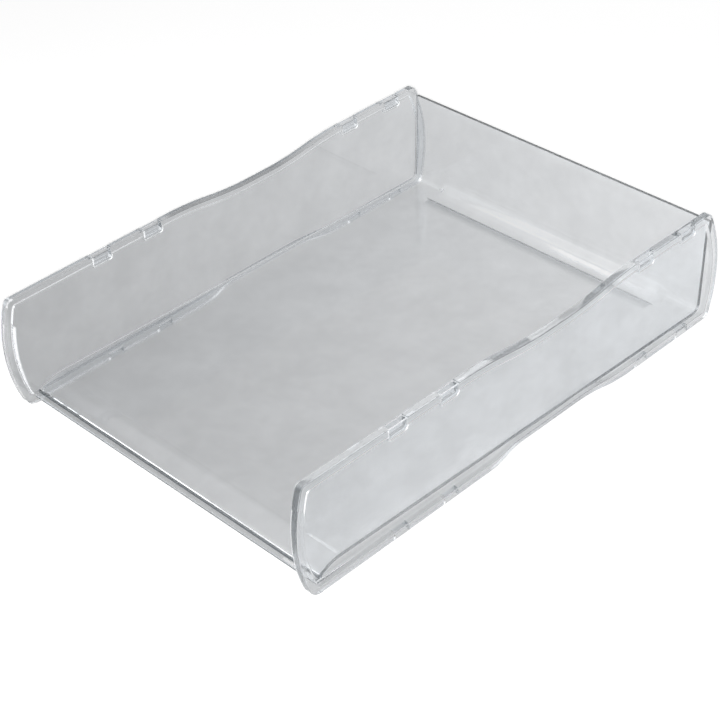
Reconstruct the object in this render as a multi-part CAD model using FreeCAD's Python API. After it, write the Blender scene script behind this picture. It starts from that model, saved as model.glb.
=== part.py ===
"""A clear, stackable, front-loading letter tray.

The tray is a single thin-walled moulding.  It is modelled as its named sections, each a
solid of its own that meets its neighbours face to face: floor, margins, lip, back, and on
each side a flush panel framed by a thick rounded rim with stacking sockets.

Frame, in millimetres: X across the tray, +Y from the open front to the back wall, +Z up.
The origin is the middle of the rectangle that the tray covers on the desk.
"""
import FreeCAD, Part
import math
import os

# ---- driving dimensions ---------------------------------------------------------------
OVERALL_WIDTH = 255.0
OVERALL_DEPTH = 362.0
RIM_HEIGHT = 78.3

# side walls: a thin panel, flush inside, with a thick rim all round it
RIM_THICKNESS = 5.0
RIM_BAND = 5.3
RIM_EDGE_RADIUS = 1.3
PANEL_THICKNESS = 2.0
FRONT_BULGE_RADIUS = 104.0
FRONT_BULGE_HEIGHT = 42.0
REAR_BULGE_RADIUS = 95.0
REAR_BULGE_HEIGHT = 35.0
TOP_CORNER_RADIUS = 3.0
FRONT_FOOT_RADIUS = 8.0
REAR_FOOT_RADIUS = 5.0
INNER_CORNER_RADIUS = 2.5

# the hand dip in the top rim and the arch under the bottom rim, both with S-shaped ends
DIP_DEPTH = 5.3
DIP_CENTRE_Y = 26.6
DIP_FLAT = 16.0
DIP_RAMP = 68.0
ARCH_HEIGHT = 5.6
ARCH_FRONT_Y = -31.4
ARCH_FRONT_RAMP = 28.0
ARCH_REAR_Y = 94.6
ARCH_REAR_RAMP = 48.0

# stacking sockets: two pairs of pockets, open at the top of each side's rim
SOCKET_PITCH = 40.4
SOCKET_FRONT_PAIR_Y = -83.9
SOCKET_REAR_PAIR_Y = 128.3
SOCKET_LENGTH = 16.2
SOCKET_HEIGHT = 8.6
SOCKET_END_WALL = 1.5
SOCKET_FLOOR = 1.5
SOCKET_CORNER_RADIUS = 3.0
SOCKET_EDGE_RADIUS = 0.4
SOCKET_SINK = 0.5
POCKET_WIDTH = 3.0
POCKET_CORNER_RADIUS = 1.2

# the foot recesses in the underside of the bottom rims, one below each socket
RECESS_LENGTH = 11.0
RECESS_WIDTH = 3.0
RECESS_DEPTH = 3.8

# floor: a centre panel a little lower than the margins beside the walls, falling to the back
FLOOR_THICKNESS = 2.0
FLOOR_REAR_HEIGHT = 6.3
FLOOR_SLOPE = 0.0213
MARGIN_WIDTH = 26.5
MARGIN_STEP = 0.8

# back wall: leans back and stops below the rims, with a scooped foot between the margins
BACK_INSET = 12.4
BACK_THICKNESS = 2.0
BACK_HEIGHT = 71.2
BACK_LEAN = 4.0
SCOOP_RADIUS = 13.0

# front lip: the floor rolls over forwards, steps down and ends in a narrow ledge
LIP_SETBACK = 13.4
LIP_ROLL_RADIUS = 31.0
LIP_ROLL_LENGTH = 16.7
LIP_STEP_DOWN = 1.6
LIP_STEP_RUN = 0.4
LIP_LEDGE = 2.7

# ---- derived places ---------------------------------------------------------------------
HALF_WIDTH = OVERALL_WIDTH / 2
INNER_X = HALF_WIDTH - RIM_THICKNESS
FRONT_Y = -OVERALL_DEPTH / 2
REAR_Y = OVERALL_DEPTH / 2
BACK_Y = REAR_Y - BACK_INSET
MARGIN_X = INNER_X - MARGIN_WIDTH
LIP_FRONT_Y = FRONT_Y + LIP_SETBACK
ROLL_Y = LIP_FRONT_Y + LIP_LEDGE + LIP_STEP_RUN + LIP_ROLL_LENGTH
DIP_HALF = DIP_FLAT / 2 + DIP_RAMP
SOCKET_YS = [
    pair + side * SOCKET_PITCH / 2
    for pair in (SOCKET_FRONT_PAIR_Y, SOCKET_REAR_PAIR_Y)
    for side in (-1, 1)
]
CLEAR = 50.0  # how far a cutting block runs past what it cuts
END_REACH = 20.0  # how far the front and rear lengths of rim reach in from the ends
NEAR = 0.01  # how close an edge lies to the place it is looked for


# ---- helpers ------------------------------------------------------------------------------
def at(y, z, x=0.0):
    """A point of a profile that lies in a plane across X."""
    return FreeCAD.Vector(x, y, z)


def line(start, end):
    """A straight edge between two (y, z) points."""
    return Part.makeLine(at(*start), at(*end))


def arc(start, middle, end):
    """A circular edge through three (y, z) points."""
    return Part.Arc(at(*start), at(*middle), at(*end)).toShape()


def block(x0, x1, y0, y1, z0, z1):
    """A rectangular block between its lowest and highest corners."""
    return Part.makeBox(x1 - x0, y1 - y0, z1 - z0, FreeCAD.Vector(x0, y0, z0))


def across(edges, x0, x1):
    """A closed (y, z) profile, extruded along X from x0 to x1."""
    face = Part.Face(Part.Wire(edges))
    solid = face.extrude(FreeCAD.Vector(x1 - x0, 0, 0))
    solid.translate(FreeCAD.Vector(x0, 0, 0))
    return solid


def polygon(points):
    """The straight edges that close a list of (y, z) points."""
    return [line(a, b) for a, b in zip(points, points[1:] + points[:1])]


def one_solid(shape):
    """The largest solid of a shape, with its seams merged."""
    return max(shape.removeSplitter().Solids, key=lambda solid: solid.Volume)


def left_and_right(name, shape):
    """The right-hand solid and its mirror image on the left."""
    mirrored = shape.mirror(FreeCAD.Vector(0, 0, 0), FreeCAD.Vector(1, 0, 0))
    return {f"{name}_right": shape, f"{name}_left": mirrored}


# ---- the outline of a side wall -----------------------------------------------------------
def s_curve(start, end):
    """Two equal arcs that leave the start and reach the end level."""
    run = end[0] - start[0]
    rise = end[1] - start[1]
    radius = (run * run + rise * rise) / (4 * abs(rise))
    half_turn = math.asin(abs(run) / 2 / radius) / 2
    dy = math.copysign(radius * math.sin(half_turn), run)
    dz = math.copysign(radius * (1 - math.cos(half_turn)), rise)
    middle = ((start[0] + end[0]) / 2, (start[1] + end[1]) / 2)
    leaving = (start[0] + dy, start[1] + dz)
    arriving = (end[0] - dy, end[1] - dz)
    return [arc(start, leaving, middle), arc(middle, arriving, end)]


def front_bulge(z, inset):
    """Where the bowed front end of a side wall is at height z."""
    radius = FRONT_BULGE_RADIUS - inset
    centre = FRONT_Y + FRONT_BULGE_RADIUS
    return centre - math.sqrt(radius ** 2 - (z - FRONT_BULGE_HEIGHT) ** 2)


def rear_bulge(z, inset):
    """Where the bowed rear end of a side wall is at height z."""
    radius = REAR_BULGE_RADIUS - inset
    centre = REAR_Y - REAR_BULGE_RADIUS
    return centre + math.sqrt(radius ** 2 - (z - REAR_BULGE_HEIGHT) ** 2)


def side_outline(inset):
    """The edges of a side wall's outline, moved inwards by the inset, with sharp corners."""
    top = RIM_HEIGHT - inset
    dip = top - DIP_DEPTH
    low = inset
    high = inset + ARCH_HEIGHT
    top_front = (front_bulge(top, inset), top)
    top_rear = (rear_bulge(top, inset), top)
    low_rear = (rear_bulge(low, inset), low)
    low_front = (front_bulge(low, inset), low)
    dip_ys = [
        DIP_CENTRE_Y - DIP_HALF,
        DIP_CENTRE_Y - DIP_FLAT / 2,
        DIP_CENTRE_Y + DIP_FLAT / 2,
        DIP_CENTRE_Y + DIP_HALF,
    ]
    edges = [line(top_front, (dip_ys[0], top))]
    edges += s_curve((dip_ys[0], top), (dip_ys[1], dip))
    edges += [line((dip_ys[1], dip), (dip_ys[2], dip))]
    edges += s_curve((dip_ys[2], dip), (dip_ys[3], top))
    edges += [line((dip_ys[3], top), top_rear)]
    edges += [arc(top_rear, (REAR_Y - inset, REAR_BULGE_HEIGHT), low_rear)]
    edges += [line(low_rear, (ARCH_REAR_Y, low))]
    edges += s_curve((ARCH_REAR_Y, low), (ARCH_REAR_Y - ARCH_REAR_RAMP, high))
    edges += [line((ARCH_REAR_Y - ARCH_REAR_RAMP, high), (ARCH_FRONT_Y + ARCH_FRONT_RAMP, high))]
    edges += s_curve((ARCH_FRONT_Y + ARCH_FRONT_RAMP, high), (ARCH_FRONT_Y, low))
    edges += [line((ARCH_FRONT_Y, low), low_front)]
    edges += [arc(low_front, (FRONT_Y + inset, FRONT_BULGE_HEIGHT), top_front)]
    return edges


def side_plate(inset, x0, x1, corner_radii):
    """A plate of a side wall's outline with its four corners rounded.

    The radii are in the order top front, top rear, bottom front, bottom rear.
    """
    plate = across(side_outline(inset), x0, x1)
    top = RIM_HEIGHT - inset
    corners = [
        (front_bulge(top, inset), top),
        (rear_bulge(top, inset), top),
        (front_bulge(inset, inset), inset),
        (rear_bulge(inset, inset), inset),
    ]
    for (y, z), radius in zip(corners, corner_radii):
        corner = at(y, z, (x0 + x1) / 2)
        edge = min(plate.Edges, key=lambda item: item.CenterOfMass.distanceToPoint(corner))
        plate = plate.makeFillet(radius, [edge])
    return plate


# ---- side walls -------------------------------------------------------------------------
def socket_envelope(y, extra_height):
    """The block that a stacking socket fills, with rounded lower corners."""
    top = RIM_HEIGHT - SOCKET_SINK
    low = RIM_HEIGHT - SOCKET_HEIGHT
    half = SOCKET_LENGTH / 2
    body = block(INNER_X, HALF_WIDTH, y - half, y + half, low, top + extra_height)
    lower = [
        edge for edge in body.Edges
        if edge.Length < RIM_THICKNESS + NEAR and edge.CenterOfMass.z < low + NEAR
        and abs(edge.CenterOfMass.x - (INNER_X + HALF_WIDTH) / 2) < NEAR
    ]
    return body.makeFillet(SOCKET_CORNER_RADIUS, lower)


def stacking_socket(y):
    """One socket: a small tub in the thickness of the rim, open at the top."""
    top = RIM_HEIGHT - SOCKET_SINK
    low = RIM_HEIGHT - SOCKET_HEIGHT
    body = socket_envelope(y, 0)
    outer = [edge for edge in body.Edges if abs(edge.CenterOfMass.x - HALF_WIDTH) < NEAR]
    body = body.makeFillet(SOCKET_EDGE_RADIUS, outer)
    half = SOCKET_LENGTH / 2 - SOCKET_END_WALL
    middle = (INNER_X + HALF_WIDTH) / 2
    pocket = block(
        middle - POCKET_WIDTH / 2,
        middle + POCKET_WIDTH / 2,
        y - half,
        y + half,
        low + SOCKET_FLOOR,
        top + CLEAR,
    )
    bottom = [
        edge for edge in pocket.Edges
        if edge.CenterOfMass.z < low + SOCKET_FLOOR + NEAR
        and abs(edge.CenterOfMass.x - middle) < NEAR
    ]
    pocket = pocket.makeFillet(POCKET_CORNER_RADIUS, bottom)
    return one_solid(body.cut(pocket))


def foot_recess(y):
    """The cutter for the recess under the bottom rim below one socket."""
    middle = (INNER_X + HALF_WIDTH) / 2
    half = RECESS_LENGTH / 2
    return block(
        middle - RECESS_WIDTH / 2,
        middle + RECESS_WIDTH / 2,
        y - half,
        y + half,
        -CLEAR,
        RECESS_DEPTH,
    )


def side_ring():
    """The thick rim that runs all round a side wall, with its outer edges rounded."""
    outer_radii = (TOP_CORNER_RADIUS, TOP_CORNER_RADIUS, FRONT_FOOT_RADIUS, REAR_FOOT_RADIUS)
    inner_radii = (INNER_CORNER_RADIUS,) * 4
    outer = side_plate(0, INNER_X, HALF_WIDTH, outer_radii)
    inner = side_plate(RIM_BAND, INNER_X, HALF_WIDTH, inner_radii)
    ring = outer.cut(inner)
    rounded = [edge for edge in ring.Edges if edge.BoundBox.XMin > HALF_WIDTH - NEAR]
    return ring.makeFillet(RIM_EDGE_RADIUS, rounded)


def end_zone(y0, y1):
    """The block that takes a front or rear length of rim out of the ring, between its corners."""
    low = RIM_BAND + FRONT_FOOT_RADIUS
    high = RIM_HEIGHT - RIM_BAND - TOP_CORNER_RADIUS
    return block(INNER_X - CLEAR, HALF_WIDTH + CLEAR, y0, y1, low, high)


def side_sections():
    """The rim's four lengths, the panel inside it and the sockets of the right-hand wall."""
    ring = side_ring()
    front_zone = end_zone(FRONT_Y - CLEAR, FRONT_Y + END_REACH)
    rear_zone = end_zone(REAR_Y - END_REACH, REAR_Y + CLEAR)
    front_rim = ring.common(front_zone)
    rear_rim = ring.common(rear_zone)
    long_rims = ring.cut(front_zone).cut(rear_zone)
    bottom_rim, top_rim = sorted(long_rims.Solids, key=lambda solid: solid.CenterOfMass.z)
    panel = side_plate(RIM_BAND, INNER_X, INNER_X + PANEL_THICKNESS, (INNER_CORNER_RADIUS,) * 4)
    for y in SOCKET_YS:
        cutter = socket_envelope(y, CLEAR)
        top_rim = top_rim.cut(cutter)
        panel = panel.cut(cutter)
        bottom_rim = bottom_rim.cut(foot_recess(y))
    sockets = Part.makeCompound([stacking_socket(y) for y in SOCKET_YS])
    sections = left_and_right("top_rim", top_rim)
    sections.update(left_and_right("stacking_sockets", sockets))
    sections.update(left_and_right("front_rim", one_solid(front_rim)))
    sections.update(left_and_right("rear_rim", one_solid(rear_rim)))
    sections.update(left_and_right("bottom_rim", one_solid(bottom_rim)))
    sections.update(left_and_right("side_panel", one_solid(panel)))
    return sections


# ---- floor, lip and back ------------------------------------------------------------------
def floor_top(y):
    """The height of the margins' top face."""
    return FLOOR_REAR_HEIGHT + FLOOR_SLOPE * (BACK_Y - y)


def floor_slab(x0, x1, drop):
    """A floor sheet, from the lip to the back wall, the drop below the margins' top face."""
    front_z = floor_top(ROLL_Y) - drop
    rear_z = floor_top(BACK_Y) - drop
    corners = [
        (ROLL_Y, front_z),
        (back_inner(rear_z), rear_z),
        (back_inner(rear_z - FLOOR_THICKNESS), rear_z - FLOOR_THICKNESS),
        (ROLL_Y, front_z - FLOOR_THICKNESS),
    ]
    return across(polygon(corners), x0, x1)


def roll_profile(radius, start_z):
    """One face of the rolled front: level start, middle and steep end points of its arc."""
    angle = math.asin(LIP_ROLL_LENGTH / LIP_ROLL_RADIUS)
    centre_z = start_z - radius
    points = []
    for share in (0, 0.5, 1):
        turn = angle * share
        points.append((ROLL_Y - radius * math.sin(turn), centre_z + radius * math.cos(turn)))
    return points


def front_lip():
    """The rolled front edge of the floor, its step and its ledge."""
    start_z = floor_top(ROLL_Y)
    upper = roll_profile(LIP_ROLL_RADIUS, start_z)
    under = roll_profile(LIP_ROLL_RADIUS - FLOOR_THICKNESS, start_z - FLOOR_THICKNESS)
    ledge_z = upper[2][1] - LIP_STEP_DOWN
    step_y = upper[2][0] - LIP_STEP_RUN
    ledge_under = ledge_z - FLOOR_THICKNESS
    outline = [
        arc(*upper),
        line(upper[2], (step_y, ledge_z)),
        line((step_y, ledge_z), (LIP_FRONT_Y, ledge_z)),
        line((LIP_FRONT_Y, ledge_z), (LIP_FRONT_Y, ledge_under)),
        line((LIP_FRONT_Y, ledge_under), (under[2][0], ledge_under)),
        line((under[2][0], ledge_under), under[2]),
        arc(under[2], under[1], under[0]),
        line(under[0], upper[0]),
    ]
    return across(outline, -INNER_X, INNER_X)


def back_inner(z):
    """Where the back wall's inner face is at height z."""
    return BACK_Y + BACK_LEAN * (z - FLOOR_REAR_HEIGHT) / (BACK_HEIGHT - FLOOR_REAR_HEIGHT)


def back_wall():
    """The leaning back wall, from the underside of the floor up to its straight top edge."""
    low = floor_top(BACK_Y) - FLOOR_THICKNESS - MARGIN_STEP
    corners = [
        (back_inner(low), low),
        (back_inner(BACK_HEIGHT), BACK_HEIGHT),
        (back_inner(BACK_HEIGHT) + BACK_THICKNESS, BACK_HEIGHT),
        (back_inner(low) + BACK_THICKNESS, low),
    ]
    return across(polygon(corners), -INNER_X, INNER_X)


def back_scoop():
    """The concave fillet between the centre floor panel and the back wall."""
    foot_z = floor_top(BACK_Y) - MARGIN_STEP
    foot = (back_inner(foot_z), foot_z)
    fall = math.atan(FLOOR_SLOPE)
    rise = math.atan((BACK_HEIGHT - FLOOR_REAR_HEIGHT) / BACK_LEAN)
    tangent = SCOOP_RADIUS * math.tan((rise + fall) / 2)
    low = (foot[0] - tangent * math.cos(fall), foot[1] + tangent * math.sin(fall))
    high = (foot[0] + tangent * math.cos(rise), foot[1] + tangent * math.sin(rise))
    centre = (low[0] + SCOOP_RADIUS * math.sin(fall), low[1] + SCOOP_RADIUS * math.cos(fall))
    share = SCOOP_RADIUS / math.dist(foot, centre)
    middle = tuple(c + (f - c) * share for c, f in zip(centre, foot))
    outline = [arc(low, middle, high), line(high, foot), line(foot, low)]
    return across(outline, -MARGIN_X, MARGIN_X)


# ---- the whole tray -----------------------------------------------------------------------
def sections():
    """Every named section of the tray."""
    parts = side_sections()
    parts["floor_panel"] = floor_slab(-MARGIN_X, MARGIN_X, MARGIN_STEP)
    margin = floor_slab(MARGIN_X, INNER_X, 0)
    parts.update(left_and_right("floor_margin", margin))
    parts["front_lip"] = front_lip()
    parts["back_wall"] = back_wall()
    parts["back_scoop"] = back_scoop()
    return parts


def main():
    os.makedirs("parts", exist_ok=True)
    for name, shape in sections().items():
        shape.exportStep(os.path.join("parts", f"{name}.step"))
        box = shape.BoundBox
        print(f"{name}: {len(shape.Solids)} solids, valid {shape.isValid()}, {shape.Volume:.0f} mm3, "
              f"Z {box.ZMin:.1f} to {box.ZMax:.1f}, Y {box.YMin:.1f} to {box.YMax:.1f}")


main()
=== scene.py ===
# %% [markdown]
# # A clear stackable letter tray
# The tray is one thin moulding in clear polystyrene: two side walls, each a thin panel inside a
# thick rounded rim, and a bed that runs from the rolled front lip to the low back wall.
#
# The CAD solids give the sizes. Clear plastic shows every face inside it, also the faces where
# two solids meet, so the solids can't simply be painted as glass. They are dressed by three
# whole shells, the two walls and the bed, and each shell stands for the solids that it covers.

# %% Load the frame
import math
import bpy
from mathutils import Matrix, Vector


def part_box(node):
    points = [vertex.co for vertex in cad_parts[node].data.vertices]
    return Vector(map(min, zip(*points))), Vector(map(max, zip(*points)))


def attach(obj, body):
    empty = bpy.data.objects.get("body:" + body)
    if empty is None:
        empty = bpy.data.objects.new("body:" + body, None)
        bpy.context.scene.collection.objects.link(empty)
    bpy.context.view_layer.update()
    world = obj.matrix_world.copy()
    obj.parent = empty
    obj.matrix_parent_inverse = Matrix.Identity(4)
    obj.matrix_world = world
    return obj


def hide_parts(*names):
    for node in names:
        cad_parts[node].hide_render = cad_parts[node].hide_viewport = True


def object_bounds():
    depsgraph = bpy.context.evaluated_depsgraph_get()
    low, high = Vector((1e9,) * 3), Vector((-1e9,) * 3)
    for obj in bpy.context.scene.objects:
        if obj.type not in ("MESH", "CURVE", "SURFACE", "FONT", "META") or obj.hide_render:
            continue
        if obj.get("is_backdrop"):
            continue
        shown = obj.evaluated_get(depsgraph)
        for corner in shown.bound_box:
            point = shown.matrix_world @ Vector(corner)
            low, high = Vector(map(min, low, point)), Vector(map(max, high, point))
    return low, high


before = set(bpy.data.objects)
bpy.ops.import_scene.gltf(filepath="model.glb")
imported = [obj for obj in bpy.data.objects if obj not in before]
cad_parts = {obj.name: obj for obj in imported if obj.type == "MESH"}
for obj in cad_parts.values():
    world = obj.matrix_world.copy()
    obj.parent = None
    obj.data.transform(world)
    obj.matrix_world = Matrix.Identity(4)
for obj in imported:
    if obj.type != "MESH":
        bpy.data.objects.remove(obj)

cad_low, cad_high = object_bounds()
print("CAD box in metres", [round(v, 4) for v in (*cad_low, *cad_high)])

# %% [markdown]
# ## Sizes
# Lengths are written in millimetres and turned to metres where Blender gets them. The outer
# sizes are read from the frame, so that the dressed tray stays the size of the CAD one.

# %% Sizes of the tray
MM = 0.001
panel_low, panel_high = (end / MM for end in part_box("side_panel_right"))
rim_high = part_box("top_rim_right")[1] / MM
INNER_X = panel_low.x  # the inner face of a side wall, flush from top to bottom
OUTER_X = rim_high.x
PANEL = panel_high.x - panel_low.x
TOP = rim_high.z
FRONT = cad_low.y / MM
REAR = cad_high.y / MM
BAND = 5.3  # the rim's width, seen from the side
print(f"walls from x {INNER_X:.1f} to {OUTER_X:.1f}, panel {PANEL:.1f}, top {TOP:.1f}")

# %% [markdown]
# ## Drawing an outline with a pen
# A side wall's outline is straight runs, level S-curves and round corners. A curve object with
# a bevel could give it, but its corners would have to be guessed. By hand, one vertex is
# extruded along each straight run and spun round the centre of each arc, which is exact. `Pen`
# does that: it starts as a plane merged to one vertex, and remembers where that vertex is.

# %% Starting clean
def clean_selection():
    """Back to object mode with nothing selected, because an operator acts on all that is."""
    if bpy.context.mode != "OBJECT":
        bpy.ops.object.mode_set(mode="OBJECT")
    bpy.ops.object.select_all(action="DESELECT")


# %% The pen
class Pen:
    """Draws a path of edges in a plane across X, in edit mode of one object."""

    def __init__(self, name, x):
        clean_selection()
        bpy.ops.mesh.primitive_plane_add(size=MM)
        self.piece = bpy.context.object
        self.piece.name = self.piece.data.name = name
        bpy.ops.object.mode_set(mode="EDIT")
        self.lift(x)

    def lift(self, x):
        """Gathers the selected plane into one vertex, at y = z = 0 of the plane at x."""
        self.x = x
        bpy.ops.mesh.select_mode(type="VERT")
        bpy.ops.mesh.merge(type="CENTER")
        bpy.ops.transform.translate(value=(x * MM, 0, 0))
        self.place = Vector((0, 0))

    def another(self, x):
        """Starts one more path in the same mesh."""
        bpy.ops.mesh.select_all(action="DESELECT")
        bpy.ops.mesh.primitive_plane_add(size=MM)
        self.lift(x)

    def go(self, y, z, draw=True):
        """A straight run to (y, z); without drawing, the vertex only moves there."""
        step = Vector((0, y - self.place[0], z - self.place[1])) * MM
        if draw:
            bpy.ops.mesh.extrude_region_move(TRANSFORM_OT_translate={"value": step})
        else:
            bpy.ops.transform.translate(value=step)
        self.place = Vector((y, z))

    def turn(self, centre, end, steps):
        """A round run about the centre to the end, the short way."""
        start = self.place - Vector(centre)
        finish = Vector(end) - Vector(centre)
        angle = math.atan2(start.x * finish.y - start.y * finish.x, start.dot(finish))
        middle = Vector((self.x, *centre)) * MM
        bpy.ops.mesh.spin(steps=steps, angle=angle, center=middle, axis=(-1, 0, 0))
        self.place = Vector(end)

    def s_curve(self, y, z, steps):
        """Two equal arcs that leave the last point and reach (y, z) level."""
        run, rise = y - self.place[0], z - self.place[1]
        radius = (run * run + rise * rise) / (4 * abs(rise))
        side = math.copysign(radius, rise)
        first = (self.place[0], self.place[1] + side)
        middle = (self.place[0] + run / 2, self.place[1] + rise / 2)
        self.turn(first, middle, steps)
        self.turn((y, z - side), (y, z), steps)


# %% [markdown]
# ## The outline of a side wall
# Both ends bow outwards on a large radius, the top rim dips so that a hand can reach the
# papers, and the bottom rim arches so that the tray stands on its corners. The same function
# also draws the panel's outline, which lies inside by the rim's width and by less over the arch,
# where it has to stay below the floor. Both have the same number of vertices, so the two loops
# can be bridged with plain four-sided faces.

# %% Numbers of the outline
FRONT_BOW = (104.0, 42.0)  # radius of a bowed end, and the height of its centre
REAR_BOW = (95.0, 35.0)
DIP_DEPTH, DIP_MIDDLE, DIP_FLAT, DIP_RAMP = 5.3, 26.6, 16.0, 68.0
ARCH_HEIGHT, ARCH_FRONT, ARCH_FRONT_RAMP = 5.6, -31.4, 28.0
ARCH_REAR, ARCH_REAR_RAMP = 94.6, 48.0
PANEL_OVER_ARCH = 8.4  # the height of the panel's lower edge over the arch
OUTER_CORNERS = (3.0, 3.0, 8.0, 5.0)  # top front, top rear, bottom front, bottom rear
INNER_CORNERS = (2.5, 2.5, 2.5, 2.5)
DIP_STEPS, ARCH_STEPS, BOW_STEPS = 10, 8, 36  # edges along each arc
TOP_STEPS, LOW_FRONT_STEPS, LOW_REAR_STEPS = 6, 10, 8


# %% A rounded corner of the outline
def corner(bow, end, way, inset, level, side, radius):
    """The corner between a level edge and a bowed end: its centre, its end on each of them."""
    reach, height = bow[0] - inset, bow[1]
    middle = end - way * bow[0]
    z = level - side * radius
    y = middle + way * math.sqrt((reach - radius) ** 2 - (z - height) ** 2)
    share = reach / (reach - radius)
    on_bow = (middle + (y - middle) * share, height + (z - height) * share)
    return (y, z), (y, level), on_bow


# %% The whole outline
def draw_outline(pen, inset, radii):
    """Draws the wall's outline, moved inwards by inset, with the four corner radii."""
    top, low = TOP - inset, inset
    arch = PANEL_OVER_ARCH if inset else ARCH_HEIGHT
    front, rear = (FRONT_BOW, FRONT, -1, inset), (REAR_BOW, REAR, 1, inset)
    top_front = corner(*front, top, 1, radii[0])
    top_rear = corner(*rear, top, 1, radii[1])
    low_front = corner(*front, low, -1, radii[2])
    low_rear = corner(*rear, low, -1, radii[3])
    pen.go(*top_front[1], draw=False)
    pen.go(DIP_MIDDLE - DIP_FLAT / 2 - DIP_RAMP, top)
    pen.s_curve(DIP_MIDDLE - DIP_FLAT / 2, top - DIP_DEPTH, DIP_STEPS)
    pen.go(DIP_MIDDLE + DIP_FLAT / 2, top - DIP_DEPTH)
    pen.s_curve(DIP_MIDDLE + DIP_FLAT / 2 + DIP_RAMP, top, DIP_STEPS)
    pen.go(*top_rear[1])
    pen.turn(top_rear[0], top_rear[2], TOP_STEPS)
    pen.turn((REAR - REAR_BOW[0], REAR_BOW[1]), low_rear[2], BOW_STEPS)
    pen.turn(low_rear[0], low_rear[1], LOW_REAR_STEPS)
    pen.go(ARCH_REAR, low)
    pen.s_curve(ARCH_REAR - ARCH_REAR_RAMP, arch, ARCH_STEPS)
    pen.go(ARCH_FRONT + ARCH_FRONT_RAMP, arch)
    pen.s_curve(ARCH_FRONT, low, ARCH_STEPS)
    pen.go(*low_front[1])
    pen.turn(low_front[0], low_front[2], LOW_FRONT_STEPS)
    pen.turn((FRONT + FRONT_BOW[0], FRONT_BOW[1]), top_front[2], BOW_STEPS)
    pen.turn(top_front[0], top_front[1], TOP_STEPS)


# %% [markdown]
# ## Choosing what to work on
# At the screen, faces and edges are picked with the mouse. Here they are picked by where they
# lie, which also keeps working when a size changes.

# %% Picking by place
def near(a, b, gap=0.02):
    """True for two lengths in millimetres that are the same but for rounding."""
    return abs(a - b) < gap


def pick(piece, kind, test):
    """Selects the vertices, edges or faces of the piece in edit mode that pass the test."""
    bpy.ops.mesh.select_mode(type=kind)
    bpy.ops.mesh.select_all(action="DESELECT")
    bpy.ops.object.mode_set(mode="OBJECT")
    mesh = piece.data
    items = {"VERT": mesh.vertices, "EDGE": mesh.edges, "FACE": mesh.polygons}[kind]
    for item in items:
        item.select = bool(test(item))
    bpy.ops.object.mode_set(mode="EDIT")


def ends_of(piece, edge):
    """The two ends of an edge, in millimetres."""
    return [piece.data.vertices[i].co / MM for i in edge.vertices]


# %% Merging doubles, and rounding sharp edges over
DOUBLE = 1e-6  # metres between vertices that are one
SHARP = math.radians(35)


def merge_all():
    """Merges the vertices of all the paths that were drawn onto one another."""
    bpy.ops.mesh.select_all(action="SELECT")
    bpy.ops.mesh.remove_doubles(threshold=DOUBLE)


def round_over(piece, test, radius, segments):
    """Bevels the sharp edges whose two ends both pass the test of a place in millimetres."""
    bpy.ops.mesh.select_mode(type="EDGE")
    bpy.ops.mesh.select_all(action="DESELECT")
    bpy.ops.mesh.edges_select_sharp(sharpness=SHARP)
    bpy.ops.object.mode_set(mode="OBJECT")
    sharp = {edge.index for edge in piece.data.edges if edge.select}
    bpy.ops.object.mode_set(mode="EDIT")
    pick(piece, "EDGE", lambda edge: edge.index in sharp and all(map(test, ends_of(piece, edge))))
    bpy.ops.mesh.bevel(offset=radius * MM, segments=segments, affect="EDGES", clamp_overlap=False)


# %% Measuring a piece
def report(piece):
    """Prints a piece's size and how many of its edges are open; clear plastic needs none."""
    mesh = piece.data
    used = {}
    for face in mesh.polygons:
        for key in face.edge_keys:
            used[key] = used.get(key, 0) + 1
    open_edges = sum(1 for count in used.values() if count != 2)
    low = [round(min(v.co[i] for v in mesh.vertices) / MM, 1) for i in range(3)]
    high = [round(max(v.co[i] for v in mesh.vertices) / MM, 1) for i in range(3)]
    print(f"{piece.name}: {len(mesh.polygons)} faces, {open_edges} open edges, {low} to {high}")


# %% [markdown]
# ## A side wall
# On the real tray the wall is a thin panel in a rim that is more than twice as thick, flush on
# the inside and standing proud on the outside. Solidify can't do two thicknesses at once, so
# the inner loop is filled for the panel, the two loops are bridged for the rim, all of it is
# extruded by the panel's thickness, and then the rim alone is extruded again.

# %% The two loops of the right-hand wall
ASIDE = 10.0  # the outer loop waits this far aside, because coplanar loops bridge badly
pen = Pen("side_wall_right", INNER_X)
right_wall = pen.piece
draw_outline(pen, BAND, INNER_CORNERS)
merge_all()
bpy.ops.mesh.edge_face_add()
pen.another(INNER_X - ASIDE)
draw_outline(pen, 0, OUTER_CORNERS)
merge_all()

# %% Panel and rim as one flat sheet
bpy.ops.mesh.select_mode(type="EDGE")
bpy.ops.mesh.select_all(action="DESELECT")
bpy.ops.mesh.select_non_manifold(extend=False, use_wire=True, use_boundary=True)
bpy.ops.mesh.bridge_edge_loops()
pick(right_wall, "VERT", lambda v: v.co.x / MM < INNER_X - ASIDE / 2)
bpy.ops.transform.translate(value=(ASIDE * MM, 0, 0))
print(len(right_wall.data.polygons), "faces in the flat sheet")

# %% Two thicknesses
OUTWARD = 0.9  # the least normal.x of a face that looks outwards
bpy.ops.mesh.select_all(action="SELECT")
bpy.ops.mesh.extrude_region_move(TRANSFORM_OT_translate={"value": (PANEL * MM, 0, 0)})
bpy.ops.mesh.select_all(action="SELECT")
bpy.ops.mesh.normals_make_consistent(inside=False)
pick(right_wall, "FACE", lambda f: len(f.vertices) == 4 and f.normal.x > OUTWARD)
rim_step = (OUTER_X - INNER_X - PANEL) * MM
bpy.ops.mesh.extrude_region_move(TRANSFORM_OT_translate={"value": (rim_step, 0, 0)})
print(f"the rim stands {rim_step / MM:.1f} mm proud of the panel")

# %% [markdown]
# A moulded edge is never quite sharp, and its small radius is where the rim glints. The step
# from rim to panel has a wide fillet at the front end only, where the mould's slope fades out.

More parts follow.
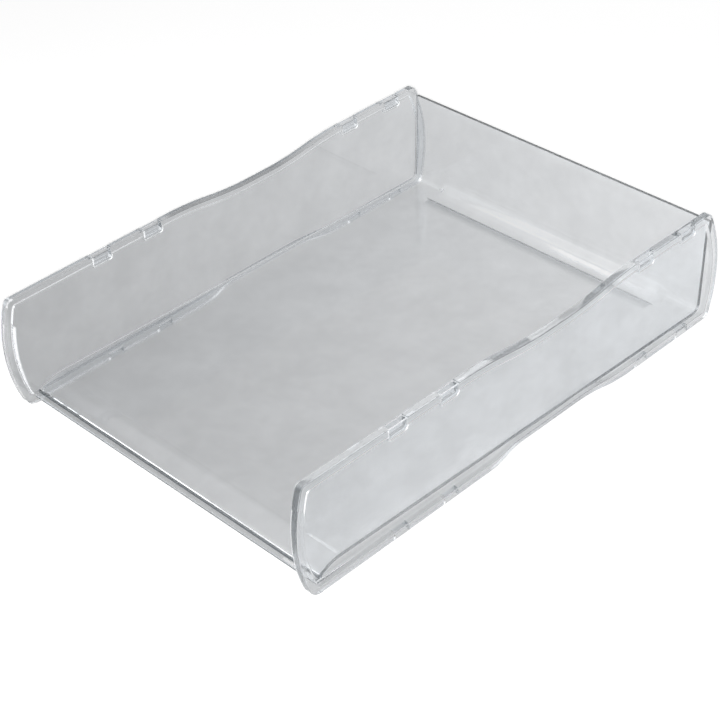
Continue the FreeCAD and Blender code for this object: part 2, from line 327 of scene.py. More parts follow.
# %% Rounded edges of the wall
RIM_EDGE = 0.3
INNER_EDGE = 0.12
STEP_FILLET, FILLET_TOP, FILLET_REAR = 2.4, 60, -165
round_over(right_wall, lambda p: near(p.x, OUTER_X), RIM_EDGE, 5)
round_over(right_wall, lambda p: near(p.x, INNER_X), INNER_EDGE, 3)
round_over(right_wall, lambda p: near(p.x, INNER_X + PANEL) and p.z < FILLET_TOP
           and p.y < FILLET_REAR, STEP_FILLET, 4)
bpy.ops.object.mode_set(mode="OBJECT")
report(right_wall)

# %% [markdown]
# ## Stacking sockets
# Four small tubs in each top rim take the tongues of risers or of the tray above. Each is a
# block with round lower corners that is joined to the rim, and then a pocket is cut into it.
# Booleans are the right tool here: the rim's curve runs on untouched beside each socket.

# %% Blocks, and cutting with them
def block(name, low, high):
    """A cube primitive brought to two corners, in millimetres, with its place in its mesh."""
    clean_selection()
    low, high = Vector(low) * MM, Vector(high) * MM
    bpy.ops.mesh.primitive_cube_add(size=1, location=(low + high) / 2, scale=high - low)
    bpy.ops.object.transform_apply(location=True, rotation=False, scale=True)
    bpy.context.object.name = name
    return bpy.context.object


def combine(piece, tool, operation):
    """Joins the tool to the piece or cuts it out of it, and deletes the tool."""
    clean_selection()
    bpy.context.view_layer.objects.active = piece
    modifier = piece.modifiers.new("combine", "BOOLEAN")
    modifier.operation = operation
    modifier.object = tool
    modifier.solver = "EXACT"
    bpy.ops.object.modifier_apply(modifier=modifier.name)
    bpy.data.objects.remove(tool)


def soften(tool, test, radius, segments):
    """Rounds a tool's sharp edges before it is used."""
    clean_selection()
    bpy.context.view_layer.objects.active = tool
    bpy.ops.object.mode_set(mode="EDIT")
    round_over(tool, test, radius, segments)
    bpy.ops.object.mode_set(mode="OBJECT")


# %% Sizes of the sockets and recesses
SOCKET_PITCH = 40.4
SOCKET_PAIRS = (-83.9, 128.3)  # the middle of the front pair and of the rear pair
SOCKET_LENGTH, SOCKET_HEIGHT, SOCKET_SINK = 16.2, 8.6, 0.5
SOCKET_WALL, SOCKET_SKIN, SOCKET_CORNER, SOCKET_EDGE = 1.5, 0.1, 3.0, 0.4
NOTCH_END = 0.4  # how much further the socket reaches than the notch that is cut for it
UNDER_NOTCH = 0.02  # the socket ends this much lower, so that no two faces share a place
POCKET_WIDTH, POCKET_EDGE = 3.0, 0.7
RECESS_LENGTH, RECESS_DEPTH = 11.0, 3.8
CLEAR = 1  # how far a cutting block reaches past what it cuts
RIM_MIDDLE = (INNER_X + OUTER_X) / 2
POCKET = (RIM_MIDDLE - POCKET_WIDTH / 2, RIM_MIDDLE + POCKET_WIDTH / 2)


# %% One socket
def add_socket(wall, y):
    """Sinks one socket into the top rim, with its middle at y."""
    half = SOCKET_LENGTH / 2
    low, high = TOP - SOCKET_HEIGHT, TOP - SOCKET_SINK
    notch = block("notch", (INNER_X - CLEAR, y - half + NOTCH_END, high),
                  (OUTER_X + CLEAR, y + half - NOTCH_END, TOP + CLEAR))
    combine(wall, notch, "DIFFERENCE")
    body = block("socket", (INNER_X + SOCKET_SKIN, y - half, low),
                 (OUTER_X - SOCKET_SKIN, y + half, high - UNDER_NOTCH))
    clean_selection()
    bpy.context.view_layer.objects.active = body
    bpy.ops.object.mode_set(mode="EDIT")
    pick(body, "EDGE", lambda e: all(near(p.z, low) for p in ends_of(body, e))
         and near(*(p.y for p in ends_of(body, e))))
    bpy.ops.mesh.bevel(offset=SOCKET_CORNER * MM, segments=6, affect="EDGES", clamp_overlap=False)
    bpy.ops.object.mode_set(mode="OBJECT")
    soften(body, lambda p: near(p.x, OUTER_X - SOCKET_SKIN), SOCKET_EDGE, 2)
    combine(wall, body, "UNION")
    inner = half - SOCKET_WALL
    pocket = block("pocket", (POCKET[0], y - inner, low + SOCKET_WALL),
                   (POCKET[1], y + inner, TOP + CLEAR))
    soften(pocket, lambda p: near(p.z, low + SOCKET_WALL), POCKET_EDGE, 3)
    combine(wall, pocket, "DIFFERENCE")


# %% Sockets above, foot recesses below
for middle in SOCKET_PAIRS:
    for y in (middle - SOCKET_PITCH / 2, middle + SOCKET_PITCH / 2):
        add_socket(right_wall, y)
        recess = block("recess", (POCKET[0], y - RECESS_LENGTH / 2, -CLEAR),
                       (POCKET[1], y + RECESS_LENGTH / 2, RECESS_DEPTH))
        combine(right_wall, recess, "DIFFERENCE")
report(right_wall)

# %% [markdown]
# ## The left-hand wall
# It is the mirror image. A mirror modifier would keep both walls in one mesh, and each wall is
# a piece of its own, so the right one is copied and its mesh mirrored. Mirroring turns the
# faces inside out, and for clear plastic that matters, so the normals are made again.

# %% Mirror the wall
clean_selection()
right_wall.select_set(True)
bpy.context.view_layer.objects.active = right_wall
bpy.ops.object.duplicate()
left_wall = bpy.context.object
left_wall.name = left_wall.data.name = "side_wall_left"
bpy.ops.object.mode_set(mode="EDIT")
bpy.ops.mesh.select_all(action="SELECT")
bpy.ops.transform.mirror(constraint_axis=(True, False, False), center_override=(0, 0, 0))
bpy.ops.mesh.normals_make_consistent(inside=False)
bpy.ops.object.mode_set(mode="OBJECT")
report(left_wall)

# %% [markdown]
# ## The bed
# Floor, lip, scoop and back are one sheet of even thickness, so its upper face is drawn as a
# profile and widened sideways. The middle of the bed lies a little lower than its margins and
# sweeps up into the back on a larger radius, so that papers are easy to pick up. Its profile
# therefore is a second one with as many vertices, and the profiles are bridged.

# %% Sizes of the bed
SHEET = 2.0
GAP = 0.02  # hair's breadth to the walls, so that two clear faces never share a place
BACK_Y = REAR - 12.4
FLOOR_REAR, SLOPE = 6.3, 0.0213
BACK_TOP, BACK_LEAN = 71.2, 4.0
MARGIN_X, MARGIN_STEP, STEP_WIDTH = 96.0, 0.45, 4.5
LIP_FRONT = FRONT + 13.4
LEDGE, STEP_DOWN = 3.1, 1.6
ROLL_RADIUS, ROLL_LENGTH = 31.0, 16.7
SCOOP_RADIUS, FOOT_RADIUS = 13.0, 5.0
SCOOP_Y = BACK_Y - SCOOP_RADIUS - 1.0  # where the middle steps up again, before the scoop
SCOOP_STEP_RUN, ROLL_STEP_RUN = 0.2, 1.5  # how gently it steps up there, and down at the roll
ROLL_Y = LIP_FRONT + LEDGE + ROLL_LENGTH
ROLL_FALL = math.asin(ROLL_LENGTH / ROLL_RADIUS)
ROLL_STEPS = FOOT_STEPS = 10


# %% The bed's profile
def floor_top(y):
    """The height of the sloping floor."""
    return FLOOR_REAR + SLOPE * (BACK_Y - y)


LEDGE_Z = floor_top(ROLL_Y) - ROLL_RADIUS * (1 - math.cos(ROLL_FALL)) - STEP_DOWN
print(f"ledge of the lip {LEDGE_Z:.2f} mm above the table, floor {floor_top(ROLL_Y):.2f}")


def draw_bed(pen, drop, foot_radius):
    """The upper face of the bed, from the lip's ledge to the top of the back wall."""
    roll_start = LIP_FRONT + LEDGE
    pen.go(LIP_FRONT, LEDGE_Z, draw=False)
    pen.go(roll_start, LEDGE_Z)
    pen.go(roll_start, LEDGE_Z + STEP_DOWN)
    pen.turn((ROLL_Y, floor_top(ROLL_Y) - ROLL_RADIUS), (ROLL_Y, floor_top(ROLL_Y)), ROLL_STEPS)
    for y in (ROLL_Y + ROLL_STEP_RUN, SCOOP_Y - SCOOP_STEP_RUN):
        pen.go(y, floor_top(y) - drop)
    pen.go(SCOOP_Y, floor_top(SCOOP_Y))
    fall = math.atan(SLOPE)
    rise = math.atan((BACK_TOP - FLOOR_REAR) / BACK_LEAN)
    tangent = foot_radius * math.tan((rise + fall) / 2)
    low = (BACK_Y - tangent * math.cos(fall), FLOOR_REAR + tangent * math.sin(fall))
    high = (BACK_Y + tangent * math.cos(rise), FLOOR_REAR + tangent * math.sin(rise))
    pen.go(*low)
    centre = (low[0] + foot_radius * math.sin(fall), low[1] + foot_radius * math.cos(fall))
    pen.turn(centre, high, FOOT_STEPS)
    pen.go(BACK_Y + BACK_LEAN, BACK_TOP)


# %% Three strips side by side
RAMP = 1.6  # width of the ramp at each wall, made further on
RAMP_SLOPE = math.radians(18)
RAMP_X = INNER_X - GAP - RAMP
MARGIN_OUT, MARGIN_IN = MARGIN_X + STEP_WIDTH / 2, MARGIN_X - STEP_WIDTH / 2


def at_x(*places):
    """A test for edges that lie in one of the planes x = place."""
    def test(edge):
        start, end = (p.x for p in ends_of(bed, edge))
        return near(start, end) and any(near(start, x) for x in places)
    return test


def widen(x, distance):
    """Extrudes the profile at x sideways."""
    pick(bed, "EDGE", at_x(x))
    bpy.ops.mesh.extrude_region_move(TRANSFORM_OT_translate={"value": (distance * MM, 0, 0)})


pen = Pen("bed", -RAMP_X)
bed = pen.piece
draw_bed(pen, 0, FOOT_RADIUS)
widen(-RAMP_X, RAMP_X - MARGIN_OUT)
pen.another(-MARGIN_IN)
draw_bed(pen, MARGIN_STEP, SCOOP_RADIUS)
widen(-MARGIN_IN, 2 * MARGIN_IN)
pen.another(MARGIN_OUT)
draw_bed(pen, 0, FOOT_RADIUS)
widen(MARGIN_OUT, RAMP_X - MARGIN_OUT)

# %% One upper face, facing up
for side in (-1, 1):
    pick(bed, "EDGE", at_x(side * MARGIN_OUT, side * MARGIN_IN))
    bpy.ops.mesh.bridge_edge_loops()
merge_all()
bpy.ops.mesh.normals_make_consistent(inside=False)
bpy.ops.object.mode_set(mode="OBJECT")
upward = sum(face.normal.z * face.area for face in bed.data.polygons)
print("the faces of the bed point", "up" if upward > 0 else "down, and are flipped")
bpy.ops.object.mode_set(mode="EDIT")
if upward < 0:
    bpy.ops.mesh.select_all(action="SELECT")
    bpy.ops.mesh.flip_normals()
for side in (-1, 1):
    widen(side * RAMP_X, side * RAMP)

# %% [markdown]
# The sheet could get its thickness from Solidify. But the ramps further on belong to the upper
# face alone, so the thickness is made by hand: a copy of the upper face is moved down along its
# normals, and at the end the two faces are joined round the edge.

# %% The underside
bpy.ops.mesh.select_all(action="SELECT")
bpy.ops.mesh.duplicate()
bpy.ops.transform.shrink_fatten(value=-SHEET * MM, use_even_offset=True)
bpy.ops.mesh.flip_normals()
bpy.ops.object.mode_set(mode="OBJECT")
upper = len(bed.data.vertices) // 2
bpy.ops.object.mode_set(mode="EDIT")
print(upper, "vertices in the upper face, and as many under it")

# %% [markdown]
# Where the bed meets a wall, the moulding has a shallow ramp, which catches the light as one
# bright line. Here the upper face's outermost vertices are raised a little.

# %% Ramps at the walls, and the rim of the sheet
pick(bed, "VERT", lambda v: v.index < upper and near(abs(v.co.x) / MM, INNER_X - GAP))
bpy.ops.transform.shrink_fatten(value=RAMP * math.tan(RAMP_SLOPE) * MM)
bpy.ops.mesh.select_mode(type="EDGE")
bpy.ops.mesh.select_all(action="DESELECT")
bpy.ops.mesh.select_non_manifold()
bpy.ops.mesh.bridge_edge_loops()
bpy.ops.mesh.select_all(action="SELECT")
bpy.ops.mesh.normals_make_consistent(inside=False)

# %% The back wall's top edge
EDGE_RADIUS = 0.15
round_over(bed, lambda p: p.z > BACK_TOP - SHEET, EDGE_RADIUS, 2)
bpy.ops.object.mode_set(mode="OBJECT")
report(bed)

# %% [markdown]
# ## Smooth where round, flat where flat
# Shading by angle makes the arcs smooth. On the large flat faces it would bend the normals
# towards the small bevels beside them, which shows as blotches in clear plastic, so a weighted
# normal modifier gives the large faces the say.

# %% Shading
SMOOTH = math.radians(32)
WEIGHT = 100
for piece in (right_wall, left_wall, bed):
    clean_selection()
    piece.select_set(True)
    bpy.context.view_layer.objects.active = piece
    bpy.ops.object.shade_smooth_by_angle(angle=SMOOTH)
    modifier = piece.modifiers.new("flat stays flat", "WEIGHTED_NORMAL")
    modifier.keep_sharp = True
    modifier.weight = WEIGHT
    bpy.ops.object.modifier_apply(modifier=modifier.name)
print("smooth below", round(math.degrees(SMOOTH)), "degrees")

# %% [markdown]
# ## Materials as nodes
# One function turns an sRGB colour to the linear one that shaders use, one adds a node with its
# values, settings and links, and a third gives a pattern's scale for its size in millimetres.

# %% Helpers for nodes
def linear(text):
    """An sRGB colour written as six hexadecimal digits, turned linear."""
    parts = [int(text[i:i + 2], 16) / 255 for i in (0, 2, 4)]
    return (*(p / 12.92 if p <= 0.04045 else ((p + 0.055) / 1.055) ** 2.4 for p in parts), 1.0)


def node(tree, kind, values=None, links=None, **settings):
    """Adds a node, makes its settings, sets its values and links its inputs from sockets."""
    made = tree.nodes.new(kind)
    for name, value in settings.items():
        setattr(made, name, value)
    for name, value in (values or {}).items():
        made.inputs[name].default_value = value
    for name, source in (links or {}).items():
        tree.links.new(source, made.inputs[name])
    return made


def scale_for(size):
    """The scale of a pattern in metres whose features measure so many millimetres."""
    return 1 / (size * MM)


def new_tree(material):
    """Turns a material or world to nodes and empties it."""
    material.use_nodes = True
    material.node_tree.nodes.clear()
    return material.node_tree


# %% [markdown]
# ## Clear polystyrene, injection moulded
# General purpose polystyrene is water-clear with an index of 1.59, so it bends light more than
# window glass and has bright rims. The mould's faces are polished, but the sheet cools
# unevenly: it has long shallow waves, and faint clouds where it is a touch less clear. Looking
# through 2 mm it is nearly colourless. Along an edge light travels a long way inside it, and
# that makes edges grey. A tint of the surface couldn't do that, so the volume absorbs.

# %% Long waves and fine unevenness
WAVES, CLOUDS, GRAIN = 36, 26, 1.1  # sizes in millimetres; the real grain is finer than can show
WAVE_HEIGHT = 0.6
plastic = bpy.data.materials.new("clear_polystyrene_injection_moulded")
tree = new_tree(plastic)
place = node(tree, "ShaderNodeTexCoord")
waves = node(tree, "ShaderNodeTexNoise",
             {"Scale": scale_for(WAVES), "Detail": 2.0, "Roughness": 0.4},
             {"Vector": place.outputs["Object"]})
bump = node(tree, "ShaderNodeBump", {"Strength": 0.12, "Distance": WAVE_HEIGHT * MM},
            {"Height": waves.outputs["Fac"]})
grain = node(tree, "ShaderNodeTexNoise", {"Scale": scale_for(GRAIN), "Detail": 3.0},
             {"Vector": place.outputs["Object"]})
uneven = node(tree, "ShaderNodeMapRange",
              {"From Min": 0.3, "From Max": 0.7, "To Min": 0.8, "To Max": 1.2},
              {"Value": grain.outputs["Fac"]})

# %% Faint clouds
clouds = node(tree, "ShaderNodeTexNoise",
              {"Scale": scale_for(CLOUDS), "Detail": 5.0, "Roughness": 0.65},
              {"Vector": place.outputs["Object"]})
spread = node(tree, "ShaderNodeMapRange", {"From Min": 0.35, "From Max": 0.65},
              {"Value": clouds.outputs["Fac"]})
COLOUR, FIRST, SECOND = 2, 6, 7  # a Mix node's colour output and its two colour inputs
haze = node(tree, "ShaderNodeMix", {FIRST: linear("F2F4F6"), SECOND: linear("FAFCFE")},
            {0: spread.outputs["Result"]}, data_type="RGBA")
print(f"waves {WAVES} mm long, clouds {CLOUDS} mm wide, grain {GRAIN} mm")

# %% [markdown]
# The polish isn't the same all over. The insides are polished, the floor is a little duller so
# that papers slide, the rims have a light satin, and their ends and undersides, where the tray
# is gripped and stands, are the dullest. Masks made from the place of a point in the tray say
# which is which. One material does it all, because a piece with a volume has only one.

# %% Places in the tray
FOOT_HEIGHT = 14
ENDS_FROM, ENDS_TO = 174.5, 176.5  # distances from the tray's middle
spot = node(tree, "ShaderNodeSeparateXYZ", None, {0: place.outputs["Object"]})
aside = node(tree, "ShaderNodeMath", None, {0: spot.outputs[0]}, operation="ABSOLUTE")
along = node(tree, "ShaderNodeMath", None, {0: spot.outputs[1]}, operation="ABSOLUTE")
inside = node(tree, "ShaderNodeMath", {1: (INNER_X - GAP / 2) * MM}, {0: aside.outputs[0]},
              operation="LESS_THAN")
foot = node(tree, "ShaderNodeMath", {1: FOOT_HEIGHT * MM}, {0: spot.outputs[2]},
            operation="LESS_THAN")

# %% Roughness by place
POLISH, FLOOR_DULL, RIM_SATIN, END_SATIN, FOOT_SATIN = 0.02, 0.1, 0.06, 0.22, 0.2
ends = node(tree, "ShaderNodeMapRange", {"From Min": ENDS_FROM * MM, "From Max": ENDS_TO * MM,
                                         "To Min": RIM_SATIN, "To Max": END_SATIN},
            {"Value": along.outputs[0]})
low = node(tree, "ShaderNodeMapRange", {"To Max": FOOT_SATIN},
           {"Value": foot.outputs[0], "To Min": ends.outputs["Result"]})
rims = node(tree, "ShaderNodeMapRange",
            {"From Min": (INNER_X + PANEL + 0.1) * MM, "From Max": (INNER_X + PANEL + 0.2) * MM,
             "To Min": POLISH},
            {"Value": aside.outputs[0], "To Max": low.outputs["Result"]})
flat = node(tree, "ShaderNodeMapRange",
            {"From Min": (ROLL_Y - 1) * MM, "From Max": (ROLL_Y + 3) * MM,
             "To Min": POLISH, "To Max": FLOOR_DULL},
            {"Value": spot.outputs[1]})
rough = node(tree, "ShaderNodeMapRange", None,
             {"Value": inside.outputs[0], "To Min": rims.outputs["Result"],
              "To Max": flat.outputs["Result"]})
varied = node(tree, "ShaderNodeMath", None,
              {0: rough.outputs["Result"], 1: uneven.outputs["Result"]}, operation="MULTIPLY")
print("roughness: insides", POLISH, "floor", FLOOR_DULL, "rims", RIM_SATIN, "ends", END_SATIN)

# %% [markdown]
# Some narrow faces are traps: light that enters the upright step of the lip, its brim, or the
# cut edges of the back wall runs on inside the sheet and hardly comes back, so each is a dark
# line. Traced in full that would take hundreds of bounces. A dark tint of those faces, painted
# shade, stands for it. The slopes of the hand dip send light down the long thin wall, so they
# get the painted shade too and are darker than the level rim. The foot of the scoop, where the
# sheet steps up, loses a little the same way, and gets a paler painted shade. Separate materials
# would cut these lines at the edges of faces, so masks place them instead.

# %% The dark lines of the bed, as painted shade
# Painted shade: a dark grey for the lines of trapped light and the dip, a pale grey for the scoop's
# foot
PAINTED_SHADE_TINT, SCOOP_FOOT_SHADE_TINT = linear("50565B"), linear("D6D9DC")
ACROSS, ALONG, UP = aside.outputs[0], spot.outputs[1], spot.outputs[2]
STEP_BACK, STEP_DARK = LIP_FRONT + LEDGE + 0.25, 0.75  # where its dark line ends; its width
BRIM_DEPTH, BRIM_HEIGHT = 0.3, 0.8
BACK_EDGE, BACK_END = 0.5, 0.3  # how far in from the top and the ends the back wall looks dark
DARK, HALF_DARK = 1.0, 0.6  # shares of the tint


def between_walls(*limits):
    """1 where the plastic lies between the walls and within all the limits, elsewhere 0."""
    mask = inside
    for socket, test, limit in limits:
        passed = node(tree, "ShaderNodeMath", {1: limit * MM}, {0: socket}, operation=test)
        mask = node(tree, "ShaderNodeMath", None, {0: mask.outputs[0], 1: passed.outputs[0]},
                    operation="MULTIPLY")
    return mask


painted_shade_mask = between_walls((ALONG, "LESS_THAN", STEP_BACK),
                     (ALONG, "GREATER_THAN", STEP_BACK - STEP_DARK),
                     (UP, "GREATER_THAN", LEDGE_Z - 0.1))
brim = between_walls((ALONG, "LESS_THAN", LIP_FRONT + BRIM_DEPTH),
                     (UP, "LESS_THAN", LEDGE_Z - SHEET + BRIM_HEIGHT))
back_top = between_walls((ALONG, "GREATER_THAN", BACK_Y - 1),
                         (UP, "GREATER_THAN", BACK_TOP - BACK_EDGE))
back_ends = between_walls((ALONG, "GREATER_THAN", BACK_Y - 3),
                          (UP, "GREATER_THAN", FLOOR_REAR + 3),
                          (ACROSS, "GREATER_THAN", INNER_X - GAP - BACK_END))
for face, share in ((brim, DARK), (back_top, HALF_DARK), (back_ends, DARK)):
    part = node(tree, "ShaderNodeMath", {1: share}, {0: face.outputs[0]}, operation="MULTIPLY")
    painted_shade_mask = node(tree, "ShaderNodeMath", None, {0: painted_shade_mask.outputs[0], 1: part.outputs[0]},
                operation="MAXIMUM")

# %% Painted shade on the slopes of the hand dip, darkest at its front
# The rim's top along the dip's slopes gets the painted shade tint, strongest near the dip's front
DIP_SHARE, DIP_FADE = 0.7, 60.0
DIP_SKIN = 0.45  # how far down the rim's sides its top looks dark
DIP_START, DIP_END = DIP_MIDDLE - DIP_FLAT / 2 - DIP_RAMP, DIP_MIDDLE + DIP_FLAT / 2 + DIP_RAMP
falls = node(tree, "ShaderNodeMapRange", {"From Min": DIP_START * MM,
                                          "From Max": (DIP_START + DIP_RAMP) * MM,
                                          "To Max": DIP_DEPTH * MM},
             {"Value": ALONG}, interpolation_type="SMOOTHSTEP")
rises = node(tree, "ShaderNodeMapRange", {"From Min": (DIP_END - DIP_RAMP) * MM,
                                          "From Max": DIP_END * MM, "To Min": 1.0, "To Max": 0.0},
             {"Value": ALONG}, interpolation_type="SMOOTHSTEP")
sunk = node(tree, "ShaderNodeMath", None,
            {0: falls.outputs["Result"], 1: rises.outputs["Result"]}, operation="MULTIPLY")
raised = node(tree, "ShaderNodeMath", None, {0: UP, 1: sunk.outputs[0]}, operation="ADD")
dip = node(tree, "ShaderNodeMath", {1: (TOP - DIP_SKIN) * MM}, {0: raised.outputs[0]},
           operation="GREATER_THAN")
starts = node(tree, "ShaderNodeMapRange", {"From Min": (DIP_START - 6) * MM,
                                           "From Max": (DIP_START + 2) * MM,
                                           "To Max": DIP_SHARE}, {"Value": ALONG})
stops = node(tree, "ShaderNodeMapRange", {"From Min": (DIP_END - DIP_FADE) * MM,
                                          "From Max": DIP_END * MM,
                                          "To Min": 1.0, "To Max": 0.0}, {"Value": ALONG})
for mask in (starts.outputs["Result"], stops.outputs["Result"]):
    dip = node(tree, "ShaderNodeMath", None, {0: dip.outputs[0], 1: mask}, operation="MULTIPLY")
painted_shade_mask = node(tree, "ShaderNodeMath", None, {0: painted_shade_mask.outputs[0], 1: dip.outputs[0]},
            operation="MAXIMUM")

# %% Painted shade at the foot of the scoop, and the colour
# A soft band of painted shade just before the scoop's foot, between the margins of the bed
SHADE_STARTS, SHADE_FULL, SHADE_ENDS = SCOOP_Y - 9, SCOOP_Y - 1, SCOOP_Y + 1.5
into = node(tree, "ShaderNodeMapRange",
            {"From Min": SHADE_STARTS * MM, "From Max": SHADE_FULL * MM},
            {"Value": ALONG}, interpolation_type="SMOOTHSTEP")
out_of = node(tree, "ShaderNodeMapRange",
              {"From Min": SCOOP_Y * MM, "From Max": SHADE_ENDS * MM, "To Min": 1.0, "To Max": 0.0},
              {"Value": ALONG}, interpolation_type="SMOOTHSTEP")
centre = node(tree, "ShaderNodeMath", {1: MARGIN_X * MM}, {0: ACROSS}, operation="LESS_THAN")
shade = node(tree, "ShaderNodeMath", None,
             {0: into.outputs["Result"], 1: out_of.outputs["Result"]}, operation="MULTIPLY")
shade = node(tree, "ShaderNodeMath", None, {0: shade.outputs[0], 1: centre.outputs[0]},
             operation="MULTIPLY")
colour = node(tree, "ShaderNodeMix", {SECOND: SCOOP_FOOT_SHADE_TINT},
              {0: shade.outputs[0], FIRST: haze.outputs[COLOUR]}, data_type="RGBA")
colour = node(tree, "ShaderNodeMix", {SECOND: PAINTED_SHADE_TINT},
              {0: painted_shade_mask.outputs[0], FIRST: colour.outputs[COLOUR]}, data_type="RGBA")
print(f"the dip is tinted from y {DIP_START:.1f} to {DIP_END:.1f}, the scoop's foot from "
      f"{SHADE_STARTS:.1f} to {SHADE_ENDS:.1f}")

# %% The clear plastic
body = node(tree, "ShaderNodeBsdfPrincipled", {"IOR": 1.59, "Transmission Weight": 1.0},
            {"Base Color": colour.outputs[COLOUR], "Roughness": varied.outputs[0],
             "Normal": bump.outputs["Normal"]})
tint = node(tree, "ShaderNodeVolumeAbsorption", {"Color": linear("D2D6D9"), "Density": 9.0})
node(tree, "ShaderNodeOutputMaterial", None,
     {"Surface": body.outputs["BSDF"], "Volume": tint.outputs["Volume"]})
for piece in (right_wall, left_wall, bed):
    piece.data.materials.clear()
    piece.data.materials.append(plastic)
print(plastic.name, "with", len(tree.nodes), "nodes")

# %% [markdown]
# ## What each shell stands for
# Nothing on the tray moves, so every piece rides on the one body. Each shell replaces the CAD
# solids that it covers, which are hidden.

# %% Roles
WALL_PARTS = ("side_panel", "top_rim", "front_rim", "rear_rim", "bottom_rim", "stacking_sockets")
for side, wall in (("right", right_wall), ("left", left_wall)):
    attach(wall, "root")
    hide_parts(*(f"{part}_{side}" for part in WALL_PARTS))
bed.name = bed.data.name = "tray_bed"
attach(bed, "root")
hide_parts("floor_panel", "floor_margin_left", "floor_margin_right", "front_lip",
            "back_scoop", "back_wall")
print(2 * len(WALL_PARTS) + 6, "solids are dressed")

# %% [markdown]
# ## The floor
# The tray stands on a sweep of white paper. Clear plastic mostly shows what is behind it, and
# that is this floor, so the floor is where the tray gets its greys. The paper scatters light
# and, for eyes that see it directly or in and through the plastic, it also glows a little, more
# towards the rear: that is the light of a large studio, which the lamps alone don't bring.

# %% What is seen, as against what lights
def seen_directly(tree):
    """1 for what is seen, directly or in and through the plastic; 0 for what only lights."""
    path = node(tree, "ShaderNodeLightPath")
    seen = node(tree, "ShaderNodeMath", None,
                {0: path.outputs["Is Camera Ray"], 1: path.outputs["Is Glossy Ray"]},
                operation="MAXIMUM")
    seen = node(tree, "ShaderNodeMath", None,
                {0: seen.outputs[0], 1: path.outputs["Is Transmission Ray"]}, operation="MAXIMUM")
    first = node(tree, "ShaderNodeMath", {1: 0.5}, {0: path.outputs["Diffuse Depth"]},
                 operation="LESS_THAN")
    both = node(tree, "ShaderNodeMath", None, {0: seen.outputs[0], 1: first.outputs[0]},
                operation="MULTIPLY")
    return both.outputs[0]


# %% Paper floor
GLOW_DIRECTION = (0.72, 0.69, 0.0)
GLOW_FROM, GLOW_TO = -0.25, 0.30  # metres along that direction
GLOW_LOW, GLOW_HIGH = 0.29, 0.76
FLOOR_SIZE, FLOOR_SINK = 12, 0.0003  # metres; the floor lies a hair below the tray's feet
clean_selection()
bpy.ops.mesh.primitive_plane_add(size=FLOOR_SIZE, location=(0, 0, -FLOOR_SINK))
floor = bpy.context.object
floor.name = "studio_floor"
floor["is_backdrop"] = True
paper = bpy.data.materials.new("matt_white_paper_floor")
tree = new_tree(paper)
place = node(tree, "ShaderNodeTexCoord")
along = node(tree, "ShaderNodeVectorMath", {1: GLOW_DIRECTION}, {0: place.outputs["Object"]},
             operation="DOT_PRODUCT")
glow = node(tree, "ShaderNodeMapRange", {"From Min": GLOW_FROM, "From Max": GLOW_TO,
                                         "To Min": GLOW_LOW, "To Max": GLOW_HIGH},
            {"Value": along.outputs["Value"]})
share = node(tree, "ShaderNodeMath", None, {0: glow.outputs["Result"], 1: seen_directly(tree)},
             operation="MULTIPLY")
matt = node(tree, "ShaderNodeBsdfDiffuse", {"Color": linear("FFFFFF")})
light = node(tree, "ShaderNodeEmission", {"Color": linear("FFFFFF"), "Strength": 1.0})
body = node(tree, "ShaderNodeMixShader", None,
            {0: share.outputs[0], 1: matt.outputs["BSDF"], 2: light.outputs["Emission"]})
node(tree, "ShaderNodeOutputMaterial", None, {"Surface": body.outputs["Shader"]})
floor.data.materials.append(paper)
print(floor.name, "glows from", GLOW_LOW, "to", GLOW_HIGH)

# %% [markdown]
# ## The room
# Reflections in the tray show the room: white near the horizon, a duller ceiling, and two soft
# lights, such as large softboxes. One lies in the middle of the ceiling. The other stands lower,
# at the front left, and draws the bright band along the scoop. As a lamp the room is dim and
# even, so the key light sets the level.

# %% Soft lights in the room
ROOM_LIGHT = 0.3  # what the room gives as light
WALL_WHITE, CEILING = 1.0, 0.6  # what it shows in reflections
WALL_TOP, CEILING_FROM = 0.1, 0.55  # how steeply up they lie, as the z of the direction
X, Y, Z = 0, 1, 2
SOFTBOXES = (  # strength, then for each axis of the direction: where it starts and is full
    (0.5, ((Z, 0.70, 0.76),)),
    (1.1, ((X, -0.2, -0.4), (Y, -0.24, -0.36), (Z, 0.15, 0.3))),
)


def softbox(tree, toward, strength, edges):
    """A soft-edged light in the directions that lie past all the edges."""
    box = None
    for axis, start, full in edges:
        part = node(tree, "ShaderNodeMapRange", {"From Min": start, "From Max": full},
                    {"Value": toward.outputs[axis]}, interpolation_type="SMOOTHSTEP").outputs[0]
        box = part if box is None else node(tree, "ShaderNodeMath", None, {0: box, 1: part},
                                            operation="MULTIPLY").outputs[0]
    return node(tree, "ShaderNodeMath", {1: strength}, {0: box}, operation="MULTIPLY").outputs[0]


# %% World
world = bpy.data.worlds.new("soft_studio_room")
bpy.context.scene.world = world
tree = new_tree(world)
place = node(tree, "ShaderNodeTexCoord")
toward = node(tree, "ShaderNodeSeparateXYZ", None, {0: place.outputs["Generated"]})
room = node(tree, "ShaderNodeMapRange", {"From Min": WALL_TOP, "From Max": CEILING_FROM,
                                         "To Min": WALL_WHITE, "To Max": CEILING},
            {"Value": toward.outputs[Z]}, interpolation_type="SMOOTHSTEP").outputs[0]
for strength, edges in SOFTBOXES:
    room = node(tree, "ShaderNodeMath", None, {0: room, 1: softbox(tree, toward, strength, edges)},
                operation="ADD").outputs[0]
level = node(tree, "ShaderNodeMapRange", {"To Min": ROOM_LIGHT},
             {"Value": seen_directly(tree), "To Max": room})
light = node(tree, "ShaderNodeBackground", {"Color": linear("FFFFFF")},
             {"Strength": level.outputs["Result"]})
node(tree, "ShaderNodeOutputWorld", None, {"Surface": light.outputs["Background"]})
print("room light", ROOM_LIGHT, "ceiling", CEILING, "and", len(SOFTBOXES), "softboxes")

# %% [markdown]
# ## Camera and lamps
# The camera looks down on the tray from its front right corner with a long lens. The key light
# is a small soft lamp close beside the lens, as a ring light is, so shadows fall behind what
# casts them. A strip light over the left wall only shows as a reflection: it draws the bright
# line where the bed meets that wall.

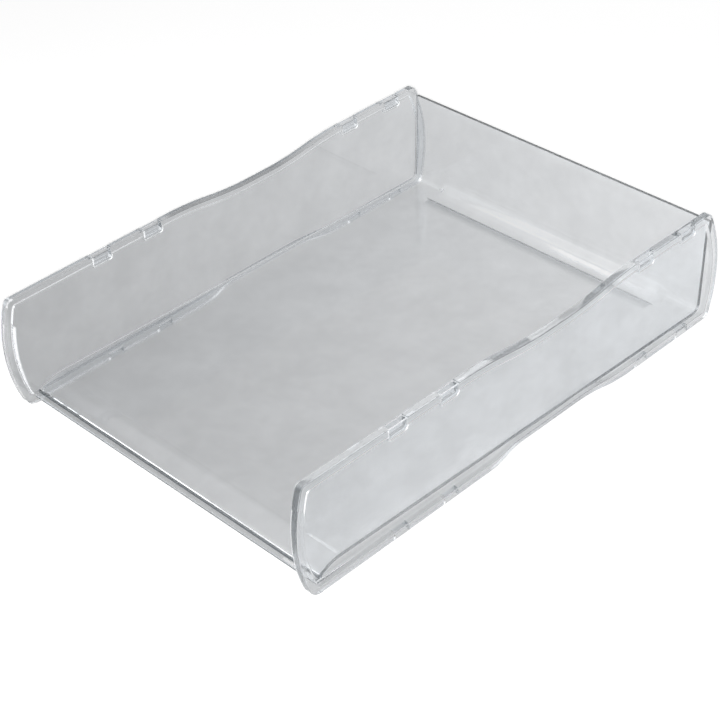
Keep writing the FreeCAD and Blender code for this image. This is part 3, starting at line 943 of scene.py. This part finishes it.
# %% Camera
CAMERA_PLACE = Vector((0.682185, -0.649220, 0.695701))
CAMERA_TURN = (53.511, 2.556, 44.963)  # degrees
LENS, SENSOR = 93.81, 36
camera_data = bpy.data.cameras.new("camera")
camera_data.lens = LENS
camera_data.sensor_width = SENSOR
camera = bpy.data.objects.new("camera", camera_data)
bpy.context.collection.objects.link(camera)
camera.location = CAMERA_PLACE
camera.rotation_euler = tuple(math.radians(angle) for angle in CAMERA_TURN)
bpy.context.scene.camera = camera
print("camera", round(CAMERA_PLACE.length, 2), "m from the tray's middle")


# %% Lamps
def lamp(name, kind, place, power, **settings):
    """Adds a lamp that points straight down."""
    data = bpy.data.lights.new(name, kind)
    data.energy = power
    for key, value in settings.items():
        setattr(data, key, value)
    made = bpy.data.objects.new(name, data)
    bpy.context.collection.objects.link(made)
    made.location = place
    return made


RING_POWER, RING_RADIUS = 62.0, 0.015
STRIP_PLACE, STRIP_POWER, STRIP_WIDTH, STRIP_LENGTH = (-0.182, 0.265, 0.40), 0.4, 0.11, 0.37
ring = lamp("ring_light", "POINT", CAMERA_PLACE, RING_POWER, shadow_soft_size=RING_RADIUS)
ring.data.use_nodes = True
tree = ring.data.node_tree
falloff = node(tree, "ShaderNodeLightFalloff", {"Strength": 1.0})
tree.links.new(falloff.outputs["Constant"], tree.nodes["Emission"].inputs["Strength"])
ring.visible_camera = ring.visible_glossy = ring.visible_transmission = False
strip = lamp("strip_light", "AREA", STRIP_PLACE, STRIP_POWER, shape="RECTANGLE",
             size=STRIP_WIDTH, size_y=STRIP_LENGTH)
strip.visible_camera = strip.visible_diffuse = strip.visible_transmission = False
print("lamps:", ring.name, strip.name)

# %% [markdown]
# ## View and bounces
# Light that runs along inside a wall bounces dozens of times before it leaves. With few bounces
# allowed, the rims turn black. The Standard view shows colours as they are, so white paper stays
# white.

# %% Settings of the view
BOUNCES = 100
scene = bpy.context.scene
scene.view_settings.view_transform = "Standard"
scene.cycles.max_bounces = BOUNCES
scene.cycles.transmission_bounces = BOUNCES
scene.cycles.glossy_bounces = BOUNCES
print(BOUNCES, "bounces at most")

# %% [markdown]
# ## Size, and finishing
# The dressed tray should be as large as the CAD one, so both boxes are written down.

# %% Size
low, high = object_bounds()
print("visual box in metres", [round(v, 4) for v in (*low, *high)])
